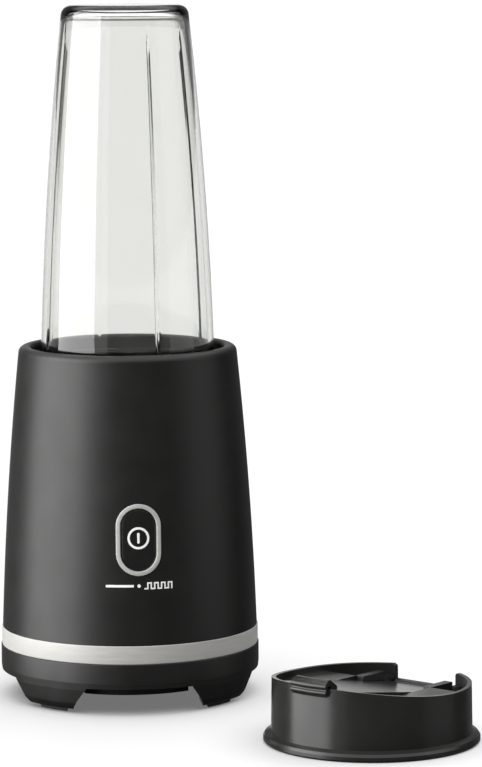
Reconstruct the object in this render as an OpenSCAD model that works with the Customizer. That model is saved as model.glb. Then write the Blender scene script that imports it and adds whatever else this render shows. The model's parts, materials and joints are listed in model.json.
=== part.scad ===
/* [Motor base] */
// Radius of the housing where it meets the silver band
housing_bottom_r = 59.5; // [58.5:0.1:60]
// Radius of the housing just under its rounded rim
housing_top_r = 50.8; // [50.4:0.1:51.4]
// Outward bow of the housing's side
housing_bow = 1.1; // [0.6:0.1:1.4]
// Thickness of the housing's wall
housing_wall = 2.6; // [2.2:0.1:2.8]
// Height of the rim above the table
rim_z = 163.6; // [162.5:0.1:164.5]
// Radius of the opening that the cup drops into
mouth_r = 44.6; // [44.6:0.1:45]
// Height of the silver band's lower edge
band_z = 24; // [23:0.1:25]
// Height of the silver band
band_h = 8.5; // [7.5:0.1:9]
// Outer radius of the skirt below the band
skirt_r = 60.3; // [60.1:0.1:60.8]
// Half the width of an arch between two feet, at its top
arch_half = 24.2; // [23.8:0.1:24.6]
// Radius of the circle that the four foot screws lie on
foot_circle_r = 50.5; // [50.4:0.1:50.6]
// Radius of the screw hole through a rubber foot
foot_hole_r = 3; // [2.8:0.05:3.1]

/* [Button] */
// Height of the button's centre
button_z = 80.9; // [80:0.1:83]
// Width of the button's bezel
bezel_w = 20.5; // [20:0.1:21]
// Height of the button's bezel
bezel_h = 32.7; // [32.5:0.1:34]
// Width of the bezel's band
bezel_band = 2; // [1.6:0.1:2.2]
// How far the button goes in
button_travel = 1.8; // [1.2:0.1:1.8]
// Height of the printed marks below the button
marks_z = 60; // [59:0.1:61]
// Height of the cord outlet at the back
gland_z = 46; // [44:0.5:48]
// Radius of the bore in the cord outlet
gland_bore_r = 3.6; // [3:0.1:4]

/* [Cup] */
// Radius of the cup at its shoulder
cup_shoulder_r = 40.4; // [40:0.1:40.8]
// Radius of the cup just below its closed end
cup_end_r = 29.6; // [28:0.1:30.5]
// Outward bow of the cup's side
cup_bow = 1.6; // [1:0.1:2]
// Height of the cup's closed end above the table
cup_top_z = 321; // [310:1:330]
// Thickness of the cup's wall
cup_wall = 2.3; // [2:0.1:2.6]
// Thickness of the cup's closed end
cup_end_wall = 3.6; // [3:0.1:4.5]
// Depth of the ribs inside the cup
cup_rib = 1.6; // [1.2:0.1:2]
// Turn of the first rib about the cup's axis, from the front
cup_rib_turn = 17; // [10:1:25]
// Angle that the cup turns to lock
lock_turn = 25; // [20:1:25]

/* [Travel lid] */
// Lid centre's place to the right of the base's axis
lid_x = 97.6; // [96:0.1:110]
// Lid centre's place in front of the base's axis
lid_y = -120.7; // [-130:0.1:-118]
// Direction from the lid's centre to its hinge
lid_turn = 43.8; // [40:0.1:48]
// Outer radius of the lid's bottom bead
lid_bead_r = 48; // [47.4:0.1:48.5]
// Radius of the lid's wall
lid_wall_r = 44.4; // [44.2:0.1:44.6]
// Height of the lid's rim beside its hinge
lid_rim_z = 26; // [25.8:0.1:26.4]
// Height of the lid's deck
lid_deck_z = 23.7; // [23.4:0.1:24]
// Width of the flap
flap_w = 41; // [40:0.5:41.5]

/* [Hidden] */
$fn = 96;

front = 270;                 // direction of the button, as an angle from +X
band_top_z = band_z + band_h;
inside_top_z = 153;          // underside of the housing's solid lip
rim_corner = 3.2;            // rounding of the rim's outer edge
rim_inner_corner = 2;        // rounding of the rim's inner edge
curve_steps = 10;            // straight steps that stand for a bowed side

floor_z = 12.5;              // underside of the skirt between the feet
floor_t = 2.5;
foot_bottom_z = 1.4;         // underside of a foot's plastic, above its rubber pad
foot_in_r = 38.6;            // radius of a foot's inner side
arch_flare = 7.2;            // how much wider an arch is at the table, on each side
pad_r = 55.8;                // outer radius of a rubber pad
icon_up = 0.8;               // the on and off mark's height above the button's centre
plate_z = 7;                 // underside of the bottom plate
plate_t = 2.4;
plate_r = 45;

well_floor_z = 118.5;        // floor of the well that the cup drops into
well_floor_t = 2.5;
well_wall_r = 48.4;
well_hole_r = 15;
ledge_r = 42.3;              // inner radius of the locking ledges
ledge_z = 130.6;
ledge_h = 3;
tab_half = 9;                // half the width of a locking tab, as an angle
tab_angles = [30, 150, 270]; // directions of the cup's three locking tabs
tab_gap = 0.4;               // angle between a tab and the lug that drives it
lug_angle = 3.6;             // width of a lug, as an angle

collar_r = 41.8;             // outer radius of the blade base's collar
collar_top_z = 157;
collar_bore_r = 39.2;
neck_r = 38.4;               // outer radius of the cup's threaded neck
neck_bottom_z = 131;
neck_bore_r = 36.1;
shoulder_z = 157.3;
cup_corner = 5;              // rounding of the cup's closed end
shaft_r = 3;
blade_shaft_r = 4;
running_gap = 0.06;          // radial clearance of a shaft in its bearing
stator_r = 34;
bolt_r = 2;
bolt_circle_r = 30.5;
board_y = -45;               // front face of the control board
post_x = 9;                  // half the distance between the board's posts
post_dz = 21;                // height of the posts above and below the button's centre
plunger_r = 2.2;
plunger_circle_r = 38;
plunger_angle = 60;
plunger_top_z = 120.7;

lid_wall = 2.2;
lid_rise = 5.2;              // how far the rim climbs from the hinge side to the finger tab
lid_level_u = 10;            // the rim is level from here to the hinge
flap_slope = 8.73;           // slope of the closed flap, in degrees
flap_t = 2.2;
hinge_u = 39;                // the hinge pin's distance from the lid's centre
hinge_z = 16.9;
pin_r = 1.2;
flap_gap = 0.4;              // clearance between the flap and its trough
trough_t = 1.8;
trough_half = flap_w / 2 + flap_gap;
notch_half = 16.5;           // half the width of the notch in the rim
notch_z = 17;
notch_corner = 3;            // rounding of the rim's ends at the notch
ear_half = notch_half + 0.5; // half the distance between the ears beside the flap's narrow end
ear_out = trough_half + 0.3; // the ears' outer faces
ear_end = 31;                // where the ears end, towards the hinge
pocket_u = 15;               // where the pockets outside the ears begin
pocket_z = 17.2;             // floor of the pockets
step_x = (hinge_u - pocket_u) / cos(flap_slope);
drink_u = -27;               // the drinking hole's distance from the lid's centre
drink_r = 8;
tab_w = 18;                  // width of the flap's finger tab
tab_turn = 1.6;              // the tab's offset about the lid's centre, in degrees

// A bowed side from [r0, z0] to [r1, z1], as points.
function side(r0, z0, r1, z1, bow, n = curve_steps) =
    [for (i = [0:n]) let (t = i / n)
        [r0 + (r1 - r0) * t + 4 * bow * t * (1 - t), z0 + (z1 - z0) * t]];

// A round corner about a centre, as points.
function corner(x, y, r, from, to, n = 6) =
    [for (i = [0:n]) let (a = from + (to - from) * i / n) [x + r * cos(a), y + r * sin(a)]];

function backwards(points) = [for (i = [len(points) - 1:-1:0]) points[i]];

// The housing's outer side, moved out by d.
function housing_side(d) =
    side(housing_bottom_r + d, band_top_z, housing_top_r + d, rim_z - rim_corner, housing_bow);

// The radius of the housing at height z.
function housing_r(z) =
    let (t = (z - band_top_z) / (rim_z - rim_corner - band_top_z))
    housing_bottom_r + (housing_top_r - housing_bottom_r) * t + 4 * housing_bow * t * (1 - t);

// The cup's outer side, moved out by d.
function cup_side(d) =
    side(cup_shoulder_r + d, shoulder_z, cup_end_r + d, cup_top_z - cup_corner, cup_bow, 16);

module revolve(points) {
    rotate_extrude() polygon(points);
}

module ring(r_in, r_out, z_low, z_high) {
    revolve([[r_in, z_low], [r_out, z_low], [r_out, z_high], [r_in, z_high]]);
}

module rod(r, z_low, z_high) {
    translate([0, 0, z_low]) cylinder(r = r, h = z_high - z_low);
}

// A block between two radii, two heights and two directions.
module sector(r_in, r_out, z_low, z_high, from, to) {
    rotate([0, 0, from])
        rotate_extrude(angle = to - from)
            polygon([[r_in, z_low], [r_out, z_low], [r_out, z_high], [r_in, z_high]]);
}

// A box that starts at radius r_in in direction a and is w wide.
module spoke(r_in, r_out, w, z_low, z_high, a) {
    rotate([0, 0, a])
        translate([r_in, -w / 2, z_low]) cube([r_out - r_in, w, z_high - z_low]);
}

module at(r, a) {
    rotate([0, 0, a]) translate([r, 0, 0]) children();
}

module four_times(first = 0) {
    for (i = [0:3]) rotate([0, 0, first + 90 * i]) children();
}

// A flat shape in x and z, pushed forwards from y_back to y_front.
module forwards(y_back, y_front, z = 0) {
    translate([0, 0, z]) rotate([90, 0, 0])
        translate([0, 0, -y_back]) linear_extrude(height = y_back - y_front) children();
}

module stadium(w, h) {
    square([w, h - w], center = true);
    for (s = [-1, 1]) translate([0, s * (h - w) / 2]) circle(d = w);
}

// A flat shape laid on the front of the housing, from d_in to d_out beyond its surface.
module on_housing(d_in, d_out, z) {
    intersection() {
        forwards(-40, -70, z) children();
        revolve(concat(housing_side(d_out), backwards(housing_side(d_in))));
    }
}

// ---------------------------------------------------------------- the base's casing

module base_housing() {
    inner = [for (p = side(housing_bottom_r - housing_wall, band_top_z,
                           housing_r(inside_top_z) - housing_wall, inside_top_z,
                           housing_bow)) p];
    color("#262625") difference() {
        union() {
            revolve(concat(
                housing_side(0),
                corner(housing_top_r - rim_corner, rim_z - rim_corner, rim_corner, 15, 90, 5),
                corner(mouth_r + rim_inner_corner, rim_z - rim_inner_corner,
                       rim_inner_corner, 90, 180, 4),
                [[mouth_r, inside_top_z]],
                backwards(inner)));
            four_times(45) {
                at(foot_circle_r, 0) rod(4, 35.5, 64);
                spoke(foot_circle_r + 3, 57.2, 2.4, 35.5, 60, 0);
            }
            for (x = [-post_x, post_x]) {
                translate([x, 0, 0]) forwards(board_y, -56.2, button_z - post_dz) circle(r = 2.6);
                translate([x, 0, 0]) forwards(board_y, -54, button_z + post_dz) circle(r = 2.6);
            }
        }
        four_times(45) at(foot_circle_r, 0) rod(1.6, 33, 56);
        for (x = [-post_x, post_x], s = [-1, 1])
            translate([x, 0, 0])
                forwards(board_y + 1, board_y - 7, button_z + s * post_dz) circle(r = 0.9);
        forwards(-48, -64, button_z)
            stadium(bezel_w - 2 * bezel_band, bezel_h - 2 * bezel_band);
        on_housing(-1.4, 3, button_z) stadium(bezel_w, bezel_h);
        on_housing(-0.5, 3, marks_z) marks_outline();
        translate([0, 45, gland_z]) rotate([-90, 0, 0]) cylinder(r = 6.5, h = 20);
    }
}

module silver_band() {
    color("#b9b8b3")
        revolve([[55.6, band_z], [59.5, band_z], [59.9, band_z + 0.5],
                 [59.9, band_top_z - 0.5], [59.5, band_top_z], [55.6, band_top_z]]);
}

// The arches between the feet, cut straight through from front to back and from side to side.
module arches() {
    top = floor_z + 1.2;
    flare = [[0.02, floor_z - 0.4], [0.14, 11], [0.31, 9.2], [0.61, 6], [0.93, 2.6], [1, -1]];
    right = concat([[arch_half, top]], [for (f = flare) [arch_half + arch_flare * f[0], f[1]]]);
    left = [for (p = backwards(right)) [-p[0], p[1]]];
    for (a = [0, 90]) rotate([0, 0, a]) forwards(70, -70) polygon(concat(right, left));
}

// The four feet: a ring under the skirt without its arches.
module foot_blocks() {
    difference() {
        revolve([[foot_in_r, foot_bottom_z], [56.3, foot_bottom_z], [57.4, foot_bottom_z + 1.1],
                 [58.6, 4.6], [59.5, 9], [59.9, floor_z + 0.4], [59.4, floor_z + 1],
                 [foot_in_r, floor_z + 1]]);
        arches();
    }
}

// The outline of the four rubber pads between two heights, smaller all round by inset.
module pad_blocks(inset, z0, z1) {
    near = arch_half + arch_flare + 0.5 + inset;
    four_times(0) intersection() {
        rod(pad_r - inset, z0, z1);
        translate([near, near, z0 - 1]) cube([30, 30, z1 - z0 + 2]);
    }
}

module foot_base() {
    color("#262625") difference() {
        union() {
            revolve([[38, floor_z], [57.8, floor_z], [59.5, floor_z + 0.6],
                     [skirt_r, floor_z + 2.2], [skirt_r, band_z], [57.3, band_z],
                     [57.3, floor_z + floor_t], [38, floor_z + floor_t]]);
            ring(52.4, 55.5, floor_z + 1, band_top_z + 2);
            ring(55, 57.6, band_z - 2.5, band_z);
            foot_blocks();
            four_times(0) at(44, 0) rod(4.5, floor_z, 33);
            four_times(0) at(41, 0) rod(2.9, plate_z + plate_t, floor_z + 1);
        }
        four_times(45) at(foot_circle_r, 0) {
            rod(3.7, 3, 10.6);
            rod(1.8, 10, 16);
        }
        four_times(0) at(44, 0) rod(1.5, 20, 34);
        four_times(0) at(41, 0) rod(1.1, plate_z, 18);
        pad_blocks(-0.15, 0, 3.2);
    }
}

module bottom_plate() {
    color("#141414") difference() {
        union() {
            rod(plate_r, plate_z, plate_z + plate_t);
            ring(44.2, plate_r - 0.2, plate_z, floor_z);
        }
        four_times(0) translate([arch_half - 0.3, arch_half - 0.3, 0]) cube([40, 40, 20]);
        four_times(0) at(41, 0) {
            rod(1.4, 0, 12);
            rod(2.7, 0, plate_z + 1.1);
        }
        for (i = [0:11]) spoke(13, 31, 3, 0, 12, 15 + 30 * i);
    }
}

module rubber_feet() {
    color("#1c1c1c") difference() {
        union() {
            pad_blocks(0, 0.5, 3.2);
            pad_blocks(0.4, 0, 0.6);
        }
        four_times(45) at(foot_circle_r, 0) rod(foot_hole_r, -1, 4);
    }
}

// A pan-head screw with its head's underside at z = 0, pointing up or down.
module screw(r, length, head_r, head_h, up = true) {
    s = up ? 1 : -1;
    rotate([up ? 0 : 180, 0, 0]) difference() {
        union() {
            rod(r, -0.5, length);
            revolve([[0, 0], [head_r, 0], [head_r, -head_h * 0.6],
                     [head_r * 0.7, -head_h], [0, -head_h]]);
        }
        for (a = [0, 90]) rotate([0, 0, a])
            translate([-head_r * 0.55, -head_r * 0.11, -head_h - 1])
                cube([head_r * 1.1, head_r * 0.22, 1 + head_h * 0.45]);
    }
}

module case_screws() {
    color("#8e8f92") four_times(45) at(foot_circle_r, 0)
        translate([0, 0, 10.6]) screw(1.55, 42, 3.1, 2.4);
}

module plate_screws() {
    color("#8e8f92") four_times(0) at(41, 0)
        translate([0, 0, plate_z + 1.1]) screw(1.05, 9.5, 2.3, 0.9);
}

module well_liner() {
    color("#1b1b1b") difference() {
        union() {
            difference() {
                revolve([[well_hole_r, well_floor_z - well_floor_t],
                         [well_wall_r, well_floor_z - well_floor_t],
                         [well_wall_r, inside_top_z], [mouth_r, inside_top_z],
                         [mouth_r, ledge_z + ledge_h], [ledge_r, ledge_z + ledge_h],
                         [ledge_r, ledge_z], [mouth_r, ledge_z], [mouth_r, well_floor_z],
                         [well_hole_r + 1.8, well_floor_z],
                         [well_hole_r + 1.8, well_floor_z + 1],
                         [well_hole_r, well_floor_z + 1]]);
                for (a = tab_angles)
                    sector(ledge_r - 2, mouth_r + 0.3, ledge_z - 0.5,
                           ledge_z + ledge_h + 0.5, a - 13, a + 13);
            }
            for (a = tab_angles) {
                spoke(ledge_r + 0.5, mouth_r + 1, 2.4, 126, ledge_z + 1,
                      a + lock_turn + 15.8);
                spoke(ledge_r + 0.5, mouth_r + 1, 2.4, 126, ledge_z + 1, a + 104.2);
            }
            four_times(45) at(28, 0) rod(4, 108.5, well_floor_z - 1);
            for (a = [-1, 1]) at(plunger_circle_r, plunger_angle)
                translate([-3.2, a * 13 - 1.5, 92]) cube([6.4, 3, 25]);
        }
        four_times(45) at(28, 0) rod(1.3, 107, 115);
        at(plunger_circle_r, plunger_angle) rod(plunger_r + 0.15, 110, 125);
    }
}

// Flat outline of the marks below the button: a long bar, a dot and a square wave.
module marks_outline() {
    bar_w = 12.6;
    bar_h = 1.1;
    wave_h = 3.2;
    stroke = 0.62;
    pulses = 4;
    pitch = bar_w / pulses;
    translate([-2.4 - bar_w, -bar_h / 2]) square([bar_w, bar_h]);
    circle(r = 0.75);
    for (i = [0:pulses - 1]) translate([2.4 + pitch * i, -wave_h / 2]) {
        square([pitch / 2 + stroke / 2, stroke]);
        translate([pitch / 2 - stroke / 2, 0]) square([stroke, wave_h]);
        translate([pitch / 2 - stroke / 2, wave_h - stroke])
            square([pitch / 2 + stroke / 2, stroke]);
        translate([pitch - stroke / 2, 0]) square([stroke, wave_h]);
    }
}

module function_marks() {
    color("#e8e8e6") on_housing(-0.5, 0.08, marks_z) marks_outline();
}

module cord_gland() {
    color("#1a1a1a") translate([0, 0, gland_z]) rotate([-90, 0, 0]) revolve([
        [gland_bore_r + 0.5, 50], [8.5, 50], [8.5, 53.5], [6.4, 53.5], [6.4, 59.5],
        [9, 59.9], [8.8, 61.2], [6.2, 63.5], [5.4, 64.5], [gland_bore_r, 64.5],
        [gland_bore_r, 59.5], [gland_bore_r + 0.5, 59.5]]);
}

// ---------------------------------------------------------------- button and electronics

module button_bezel() {
    color("#b9b8b3") on_housing(-1.4, 0.5, button_z) difference() {
        stadium(bezel_w, bezel_h);
        stadium(bezel_w - 2 * bezel_band, bezel_h - 2 * bezel_band);
    }
}

// Flat outline of the on and off mark: a ring with an upright bar in it.
module icon_outline() {
    translate([0, icon_up]) {
        difference() {
            circle(r = 5.1);
            circle(r = 3.9);
        }
        square([1.25, 5], center = true);
    }
}

module power_button() {
    w = bezel_w - 2 * bezel_band - 0.4;
    h = bezel_h - 2 * bezel_band - 0.4;
    color("#1d1d1c") difference() {
        union() {
            on_housing(-5.6, -0.3, button_z) stadium(w, h);
            forwards(-51.7, -53.2, button_z) stadium(w + 3.4, h + 3.4);
            forwards(-50.6, -52, button_z) circle(r = 2.5);
        }
        on_housing(-0.8, 1, button_z) icon_outline();
    }
}

module power_icon() {
    color("#f0f0ee") on_housing(-0.8, -0.18, button_z) icon_outline();
}

module control_board() {
    color("#2f5d3a") difference() {
        union() {
            translate([-13, board_y, 58]) cube([26, 1.6, 47]);
            translate([-11, board_y + 1.4, 84]) cube([9, 5.4, 12]);
            translate([2, board_y + 1.4, 68]) cube([9, 4.6, 9]);
            translate([6, board_y + 1.4, 90]) rotate([-90, 0, 0]) cylinder(r = 3.2, h = 5);
            translate([-10, board_y + 1.4, 68]) cube([7, 4, 6]);
        }
        for (x = [-post_x, post_x], s = [-1, 1])
            translate([x, 0, 0])
                forwards(board_y + 3, board_y - 1, button_z + s * post_dz) circle(r = 1.2);
    }
}

module board_screws() {
    color("#8e8f92") for (x = [-post_x, post_x], s = [-1, 1])
        translate([x, board_y + 1.6, button_z + s * post_dz]) rotate([90, 0, 0])
            screw(0.85, 7, 1.9, 1.4);
}

module button_switch() {
    color("#3a3a3a") {
        translate([-5, board_y - 2.6, button_z - 5]) cube([10, 2.6, 10]);
        forwards(board_y - 2.5, board_y - 3.7, button_z) circle(r = 1.75);
    }
}

module interlock_switch() {
    color("#3a3a3a") at(plunger_circle_r, plunger_angle) {
        translate([-3, -11.4, 92]) cube([6, 22.8, 10]);
        translate([-1.5, -6, 101.9]) cube([3, 12, 1.8]);
    }
}

// ---------------------------------------------------------------- motor, fixed parts

module motor_lower_bracket() {
    color("#a9acb0") difference() {
        union() {
            rod(20, 36, 39.5);
            four_times(0) {
                spoke(0, 44, 11, 36, 39.5, 0);
                at(44, 0) rod(5.5, 36, 39.5);
            }
            rod(11, 36, 43.4);
        }
        rod(8.02, 37.2, 50);
        rod(4.5, 30, 50);
        four_times(0) at(44, 0) rod(1.8, 30, 42);
        for (a = [90, 270]) at(bolt_circle_r, a) rod(bolt_r + 0.1, 30, 42);
    }
}

module motor_cushions() {
    color("#1c1c1c") four_times(0) at(44, 0) ring(1.9, 4.5, 33, 36);
}

module motor_screws() {
    color("#8e8f92") four_times(0) at(44, 0)
        translate([0, 0, 39.5]) screw(1.45, 16, 3, 2.2, up = false);
}

module motor_upper_bracket() {
    color("#a9acb0") difference() {
        union() {
            rod(stator_r, 105, 108.5);
            rod(11, 105, 112.2);
        }
        rod(8.02, 104, 111);
        rod(4.5, 100, 120);
        for (a = [90, 270]) at(bolt_circle_r, a) rod(bolt_r + 0.1, 100, 112);
        four_times(45) at(28, 0) rod(1.6, 100, 112);
        four_times(0) sector(15, 24, 100, 112, 28, 62);
    }
}

module bracket_screws() {
    color("#8e8f92") four_times(45) at(28, 0)
        translate([0, 0, 105]) screw(1.25, 9.2, 2.6, 1.8);
}

module motor_bolts() {
    color("#8e8f92") for (a = [90, 270]) at(bolt_circle_r, a) {
        rod(bolt_r, 35.5, 111);
        translate([0, 0, 33]) cylinder(r = 3.6, h = 3, $fn = 6);
        translate([0, 0, 108.5]) cylinder(r = 3.6, h = 2, $fn = 6);
    }
}

module motor_spacers() {
    color("#c9b26a") for (a = [90, 270]) at(bolt_circle_r, a) {
        ring(bolt_r + 0.1, 3.4, 39.5, 56);
        ring(bolt_r + 0.1, 3.4, 86, 105);
    }
}

module bearing(z_low, z_high) {
    difference() {
        ring(shaft_r + running_gap, 8, z_low, z_high);
        ring(5, 6.4, z_high - 0.5, z_high + 1);
        ring(5, 6.4, z_low - 1, z_low + 0.5);
    }
}

module lower_bearing() {
    color("#c8cacd") bearing(37.2, 43.2);
}

module upper_bearing() {
    color("#c8cacd") bearing(105.2, 111);
}

module stator_core() {
    color("#6f7276") difference() {
        ring(21.2, stator_r, 56, 86);
        for (a = [90, 270]) {
            sector(20, 27, 55, 87, a - 40, a + 40);
            at(bolt_circle_r, a) rod(bolt_r + 0.1, 50, 90);
        }
    }
}

module field_coils() {
    color("#a5532c") for (a = [0, 180]) difference() {
        sector(21.8, 26.6, 50, 92, a - 62, a + 62);
        sector(20, 28, 55.8, 86.2, a - 51, a + 51);
    }
}

module brush_holders() {
    color("#8a6d3b") for (a = [90, 270]) difference() {
        spoke(11, 25.5, 9, 94, 105, a);
        spoke(10, 24, 6.2, 95.4, 102.6, a);
    }
}

module carbon_brushes() {
    color("#2b2b2d") for (a = [90, 270]) spoke(10.25, 18, 6, 95.6, 102.4, a);
}

// ---------------------------------------------------------------- motor, turning parts

module motor_shaft() {
    color("#c8cacd")
        revolve([[0, 33], [shaft_r, 33], [shaft_r, 44.2], [4, 44.4], [4, 103.4],
                 [shaft_r, 103.6], [shaft_r, 125.4], [2.4, 126], [0, 126]]);
}

module armature_core() {
    color("#6f7276") difference() {
        ring(4, 20.7, 57, 85);
        for (i = [0:11]) spoke(13, 22, 2, 50, 90, 30 * i);
    }
}

module armature_windings() {
    color("#b8622f") {
        for (z = [50.4, 85.1]) ring(6.5, 19.4, z, z + 6.5);
        for (i = [0:11]) spoke(13.2, 19.4, 1.8, 56, 86, 30 * i);
    }
}

module commutator() {
    color("#b4703a") difference() {
        ring(4, 10, 94, 103);
        for (i = [0:11]) spoke(9.5, 11, 0.5, 93, 104, 15 + 30 * i);
    }
}

module cooling_fan() {
    color("#2d2d2e") {
        ring(4, 8.6, 45, 49.6);
        ring(8, 25.5, 45, 46.2);
        for (i = [0:8]) rotate([0, 0, 40 * i]) translate([8, -3, 45.5])
            rotate([0, 0, 14]) cube([16.5, 1.4, 4.1]);
    }
}

module coupling_star(r_core, r_out, w) {
    circle(r = r_core);
    for (i = [0:5]) rotate([0, 0, 60 * i]) translate([0, -w / 2]) square([r_out, w]);
}

module drive_coupling() {
    color("#2a2a2b") difference() {
        union() {
            ring(0, 6.5, 113.2, 117);
            ring(0, 13.5, 115.6, 118.4);
            translate([0, 0, 118]) linear_extrude(height = 9.8) coupling_star(7, 10, 4);
        }
        rod(shaft_r, 110, 126);
    }
}

// ---------------------------------------------------------------- blades, turning parts

module blade_shaft() {
    color("#d2d4d6")
        revolve([[0, 128.6], [blade_shaft_r, 128.6], [blade_shaft_r, 149],
                 [3.4, 149.6], [0, 149.6]]);
}

module driven_coupling() {
    color("#2a2a2b") difference() {
        revolve([[0, 120.2], [15, 120.2], [15.5, 120.7], [15.5, 129], [12.6, 131.8],
                 [0, 131.8]]);
        translate([0, 0, 119]) linear_extrude(height = 9.4) coupling_star(7.6, 10.6, 5);
        rod(blade_shaft_r, 128.6, 140);
    }
}

module thrust_washer() {
    color("#c9b26a") ring(blade_shaft_r, 7, 141.5, 142.3);
}

// One blade: a hub and two opposite arms that bend by the given angle.
module blade(z, bend, length) {
    t = 1.6;
    bend_r = 14;
    difference() {
        union() {
            rod(8.5, z, z + t);
            for (a = [0, 180]) rotate([0, 0, a]) {
                translate([0, -5.5, z]) cube([bend_r + 0.4, 11, t]);
                translate([bend_r, 0, z]) rotate([0, -bend, 0])
                    linear_extrude(height = t)
                        polygon([[0, -5.5], [length - 5, -5.5], [length, -1],
                                 [length - 1, 2], [3, 5.5], [0, 5.5]]);
            }
        }
        rod(blade_shaft_r, z - 1, z + 3);
    }
}

module lower_blade() {
    color("#d2d4d6") blade(142.3, -26, 12.5);
}

module upper_blade() {
    color("#d2d4d6") rotate([0, 0, 78]) blade(143.9, 38, 13);
}

module blade_nut() {
    color("#d2d4d6") difference() {
        union() {
            translate([0, 0, 145.5]) cylinder(r = 6.4, h = 3.6, $fn = 6);
            rod(5, 149, 149.7);
        }
        rod(blade_shaft_r, 140, 149.6);
    }
}

// ---------------------------------------------------------------- lock and blade base

module lock_ring() {
    low = well_floor_z + 0.3;
    // The groove for the plunger: its ceiling steps down as the ring turns and presses the plunger.
    steps = [[-10, 8, 121.2, 2.8], [-18.6, 0, 120.6, 2.7], [-27.3, -5, 119.8, 2.6]];
    color("#3d3d3e") difference() {
        union() {
            ring(34, 44.2, low, 122.8);
            for (a = tab_angles, s = [-1, 1]) {
                mid = a + s * (tab_half + tab_gap + lug_angle / 2);
                sector(42.2, 44.1, 121, 129, mid - lug_angle / 2, mid + lug_angle / 2);
            }
        }
        for (g = steps)
            sector(plunger_circle_r - g[3], plunger_circle_r + g[3], 110, g[2],
                   plunger_angle + g[0], plunger_angle + g[1]);
    }
}

module interlock_plunger() {
    color("#c9c6bd") at(plunger_circle_r, plunger_angle) {
        revolve([[0, 105.9], [plunger_r, 105.9], [plunger_r, plunger_top_z - 1],
                 [plunger_r - 1, plunger_top_z], [0, plunger_top_z]]);
        rod(3.4, 114.2, 115.8);
    }
}

module blade_base() {
    color("#232323") {
        revolve([[7, 132.2], [17, 132.2], [17, 123.2], [40.3, 123.2], [collar_r, 124.7],
                 [collar_r, collar_top_z - 0.6], [collar_r - 0.6, collar_top_z],
                 [collar_bore_r, collar_top_z], [collar_bore_r, 128.5], [35.4, 128.5],
                 [35.4, 126], [20, 126], [20, 136.2], [19, 137.2], [7, 137.2]]);
        for (a = tab_angles) sector(collar_r - 0.4, 44, 126, 130, a - tab_half, a + tab_half);
    }
}

module bearing_bush() {
    color("#c9a45c") revolve([
        [blade_shaft_r + running_gap, 132.3], [7, 132.3], [7, 137.2], [9, 137.2],
        [9, 138.4], [blade_shaft_r + running_gap, 138.4]]);
}

module shaft_seal() {
    color("#4a4a4a") revolve([
        [blade_shaft_r + running_gap, 138.4], [8.2, 138.4], [8.2, 139.6], [6, 141.2],
        [blade_shaft_r + running_gap, 141.2]]);
}

module cup_gasket() {
    color("#d8d6cf") revolve(concat(
        [[35.6, 128.6], [38.9, 128.6], [38.9, 130.6], [38.6, 130.9], [35.9, 130.9],
         [35.6, 130.6]]));
}

module blending_cup() {
    end_z = cup_top_z - cup_corner;
    inner_r = 3;
    rib_low = 163;
    rib_high = end_z - 8;
    color([0.86, 0.87, 0.85, 0.4]) {
        revolve(concat(
            [[neck_bore_r, neck_bottom_z], [neck_r, neck_bottom_z], [neck_r, 136],
             [neck_r + 0.45, 136.6], [neck_r + 0.45, 138], [neck_r, 138.6], [neck_r, 144],
             [neck_r + 0.45, 144.6], [neck_r + 0.45, 146], [neck_r, 146.6],
             [neck_r, shoulder_z]],
            cup_side(0),
            corner(cup_end_r - cup_corner, end_z, cup_corner, 15, 90, 5),
            [[0, cup_top_z], [0, cup_top_z - cup_end_wall]],
            corner(cup_end_r - cup_wall - inner_r, cup_top_z - cup_end_wall - inner_r,
                   inner_r, 90, 30, 4),
            backwards([for (p = cup_side(-cup_wall)) if (p[1] > 160) p]),
            [[neck_bore_r, 156]]));
        intersection() {
            revolve([for (p = concat(cup_side(0.3 - cup_wall),
                                     backwards(cup_side(-cup_wall - cup_rib)))) p]);
            translate([0, 0, rib_low]) rotate([0, 0, front + cup_rib_turn]) {
                translate([-50, -0.8, 0]) cube([100, 1.6, rib_high - rib_low]);
                translate([-0.8, -50, 0]) cube([1.6, 100, rib_high - rib_low]);
            }
        }
    }
}

// ---------------------------------------------------------------- travel lid

// Moves a lid piece from the lid's own axes, with +X towards the hinge, to its place.
module lid_place() {
    translate([lid_x, lid_y, 0]) rotate([0, 0, lid_turn]) children();
}

// Moves a flap piece to its slope: x runs from the hinge towards the tab, z is the mid-plane.
module flap_place() {
    translate([hinge_u, 0, hinge_z]) rotate([0, flap_slope, 0]) mirror([1, 0, 0]) children();
}

module across(r, half) {
    rotate([90, 0, 0]) translate([0, 0, -half]) cylinder(r = r, h = 2 * half);
}

// Height of the lid's rim at u: level beside the hinge, and curving up towards the finger tab.
function lid_rim(u) =
    lid_rim_z + lid_rise * pow(max(0, lid_level_u - u) / (lid_level_u + lid_wall_r), 2);

// The lid's ring wall with its bottom bead, cut off along the curved rim.
module lid_wall_ring() {
    bore = lid_wall_r - lid_wall;
    difference() {
        revolve([[bore, 0], [47, 0], [lid_bead_r, 0.9], [lid_bead_r, 2.4],
                 [lid_bead_r - 0.8, 3.6], [lid_bead_r - 2.2, 4.1],
                 [lid_wall_r + 0.1, 4.6], [lid_wall_r - 0.4, 36], [bore, 36]]);
        rotate([90, 0, 0]) translate([0, 0, -60]) linear_extrude(height = 120)
            polygon(concat([for (u = [-58:4:58]) [u, lid_rim(u)]], [[58, 60], [-58, 60]]));
    }
}

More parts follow.
